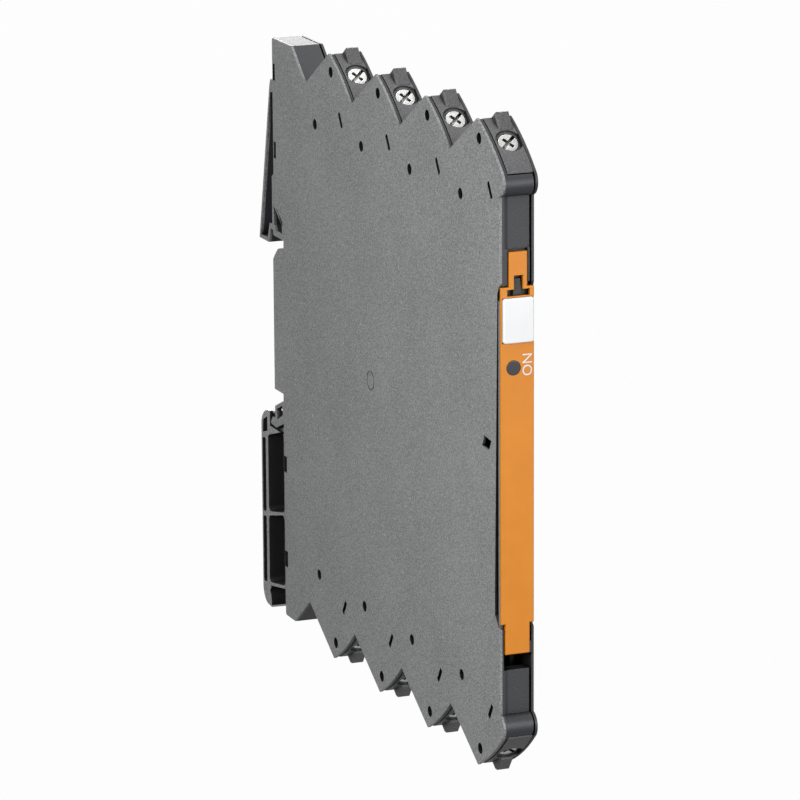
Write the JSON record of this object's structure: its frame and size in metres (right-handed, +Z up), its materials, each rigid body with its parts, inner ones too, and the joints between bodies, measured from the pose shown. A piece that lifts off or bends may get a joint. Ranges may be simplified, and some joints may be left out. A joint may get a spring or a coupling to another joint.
{
  "type": "rail-mounted signal splitter",
  "caption": "Narrow grey rail-mounted signal splitter with screw terminals along both saw-tooth edges and an orange front flap.",
  "frame": {"origin": "middle of the nose face that seats on the rail's front plane, at half the case's height and width", "axes": "+X across the narrow case, +Y towards the rail and the wall behind it, +Z up"},
  "size_m": [0.006, 0.1142, 0.1116],
  "materials": {
    "housing_grey": "matte moulded, fine grain",
    "foot_grey": "matte moulded",
    "terminal_grey": "matte moulded",
    "flap_orange": "satin moulded",
    "marker_white": "matte",
    "guide_smoke": "smoked, glossy",
    "zinc_steel": "zinc plated",
    "spring_steel": "rolled",
    "tin_copper": "tin plated copper",
    "board_green": "solder mask",
    "ferrite_black": "sintered ferrite",
    "winding_copper": "enamelled wire",
    "chip_black": "moulded package",
    "capacitor_tan": "ceramic",
    "led_lens": "clear lens",
    "socket_black": "moulded"
  },
  "bodies": {
    "housing": {"housing_shell": "housing_grey", "side_cover": "housing_grey", "circuit_board": "board_green", "transformer_core": "ferrite_black", "transformer_winding": "winding_copper", "processor_chip": "chip_black", "analog_chips": "chip_black", "isolator_chips": "chip_black", "capacitors": "capacitor_tan", "status_led": "led_lens", "config_socket": "socket_black", "terminal_block_1": "terminal_grey", "terminal_block_2": "terminal_grey", "terminal_block_3": "terminal_grey", "terminal_block_4": "terminal_grey", "terminal_block_5": "terminal_grey", "terminal_block_6": "terminal_grey", "terminal_block_7": "terminal_grey", "terminal_block_8": "terminal_grey", "contact_bar_1": "tin_copper", "contact_bar_2": "tin_copper", "contact_bar_3": "tin_copper", "contact_bar_4": "tin_copper", "contact_bar_5": "tin_copper", "contact_bar_6": "tin_copper", "contact_bar_7": "tin_copper", "contact_bar_8": "tin_copper"},
    "foot": {"rail_foot": "foot_grey", "foot_spring": "spring_steel"},
    "flap": {"front_flap": "flap_orange", "marker_tag": "marker_white", "light_guide": "guide_smoke"},
    "screw_1": {"clamp_screw_1": "zinc_steel"},
    "yoke_1": {"clamp_yoke_1": "zinc_steel"},
    "screw_2": {"clamp_screw_2": "zinc_steel"},
    "yoke_2": {"clamp_yoke_2": "zinc_steel"},
    "screw_3": {"clamp_screw_3": "zinc_steel"},
    "yoke_3": {"clamp_yoke_3": "zinc_steel"},
    "screw_4": {"clamp_screw_4": "zinc_steel"},
    "yoke_4": {"clamp_yoke_4": "zinc_steel"},
    "screw_5": {"clamp_screw_5": "zinc_steel"},
    "yoke_5": {"clamp_yoke_5": "zinc_steel"},
    "screw_6": {"clamp_screw_6": "zinc_steel"},
    "yoke_6": {"clamp_yoke_6": "zinc_steel"},
    "screw_7": {"clamp_screw_7": "zinc_steel"},
    "yoke_7": {"clamp_yoke_7": "zinc_steel"},
    "screw_8": {"clamp_screw_8": "zinc_steel"},
    "yoke_8": {"clamp_yoke_8": "zinc_steel"}
  },
  "joints": [
    {"name": "foot_release", "type": "slide", "parent": "housing", "child": "foot", "axis": [0, 0, -1], "range_m": [0, 0.003], "stiffness_N_per_m": 1200, "springref_m": -0.001, "deforming": ["foot_spring"]},
    {"name": "flap_hinge", "type": "hinge", "parent": "housing", "child": "flap", "pos_m": [0, -0.1043, -0.0323], "axis": [1, 0, 0], "range_deg": [0, 95]},
    {"name": "screw_turn_1", "type": "hinge", "parent": "housing", "child": "screw_1", "pos_m": [0.0006, -0.03345, 0.05125], "axis": [0, 0.7071, -0.7071], "range_deg": [0, 1600]},
    {"name": "yoke_lift_1", "type": "slide", "parent": "housing", "child": "yoke_1", "axis": [0, -0.7071, 0.7071], "range_m": [0, 0.002]},
    {"name": "screw_turn_2", "type": "hinge", "parent": "housing", "child": "screw_2", "pos_m": [0.0006, -0.0557, 0.05125], "axis": [0, 0.7071, -0.7071], "range_deg": [0, 1600]},
    {"name": "yoke_lift_2", "type": "slide", "parent": "housing", "child": "yoke_2", "axis": [0, -0.7071, 0.7071], "range_m": [0, 0.002]},
    {"name": "screw_turn_3", "type": "hinge", "parent": "housing", "child": "screw_3", "pos_m": [0.0006, -0.07795, 0.05125], "axis": [0, 0.7071, -0.7071], "range_deg": [0, 1600]},
    {"name": "yoke_lift_3", "type": "slide", "parent": "housing", "child": "yoke_3", "axis": [0, -0.7071, 0.7071], "range_m": [0, 0.002]},
    {"name": "screw_turn_4", "type": "hinge", "parent": "housing", "child": "screw_4", "pos_m": [0.0006, -0.1002, 0.05125], "axis": [0, 0.7071, -0.7071], "range_deg": [0, 1600]},
    {"name": "yoke_lift_4", "type": "slide", "parent": "housing", "child": "yoke_4", "axis": [0, -0.7071, 0.7071], "range_m": [0, 0.002]},
    {"name": "screw_turn_5", "type": "hinge", "parent": "housing", "child": "screw_5", "pos_m": [0.0006, -0.03345, -0.05125], "axis": [0, 0.7071, 0.7071], "range_deg": [0, 1600]},
    {"name": "yoke_lift_5", "type": "slide", "parent": "housing", "child": "yoke_5", "axis": [0, -0.7071, -0.7071], "range_m": [0, 0.002]},
    {"name": "screw_turn_6", "type": "hinge", "parent": "housing", "child": "screw_6", "pos_m": [0.0006, -0.0557, -0.05125], "axis": [0, 0.7071, 0.7071], "range_deg": [0, 1600]},
    {"name": "yoke_lift_6", "type": "slide", "parent": "housing", "child": "yoke_6", "axis": [0, -0.7071, -0.7071], "range_m": [0, 0.002]},
    {"name": "screw_turn_7", "type": "hinge", "parent": "housing", "child": "screw_7", "pos_m": [0.0006, -0.07795, -0.05125], "axis": [0, 0.7071, 0.7071], "range_deg": [0, 1600]},
    {"name": "yoke_lift_7", "type": "slide", "parent": "housing", "child": "yoke_7", "axis": [0, -0.7071, -0.7071], "range_m": [0, 0.002]},
    {"name": "screw_turn_8", "type": "hinge", "parent": "housing", "child": "screw_8", "pos_m": [0.0006, -0.1002, -0.05125], "axis": [0, 0.7071, 0.7071], "range_deg": [0, 1600]},
    {"name": "yoke_lift_8", "type": "slide", "parent": "housing", "child": "yoke_8", "axis": [0, -0.7071, -0.7071], "range_m": [0, 0.002]}
  ],
  "couplings": [
    {"joint": "screw_turn_1", "follows": "yoke_lift_1", "rad_per_m": 13963},
    {"joint": "screw_turn_2", "follows": "yoke_lift_2", "rad_per_m": 13963},
    {"joint": "screw_turn_3", "follows": "yoke_lift_3", "rad_per_m": 13963},
    {"joint": "screw_turn_4", "follows": "yoke_lift_4", "rad_per_m": 13963},
    {"joint": "screw_turn_5", "follows": "yoke_lift_5", "rad_per_m": 13963},
    {"joint": "screw_turn_6", "follows": "yoke_lift_6", "rad_per_m": 13963},
    {"joint": "screw_turn_7", "follows": "yoke_lift_7", "rad_per_m": 13963},
    {"joint": "screw_turn_8", "follows": "yoke_lift_8", "rad_per_m": 13963}
  ]
}
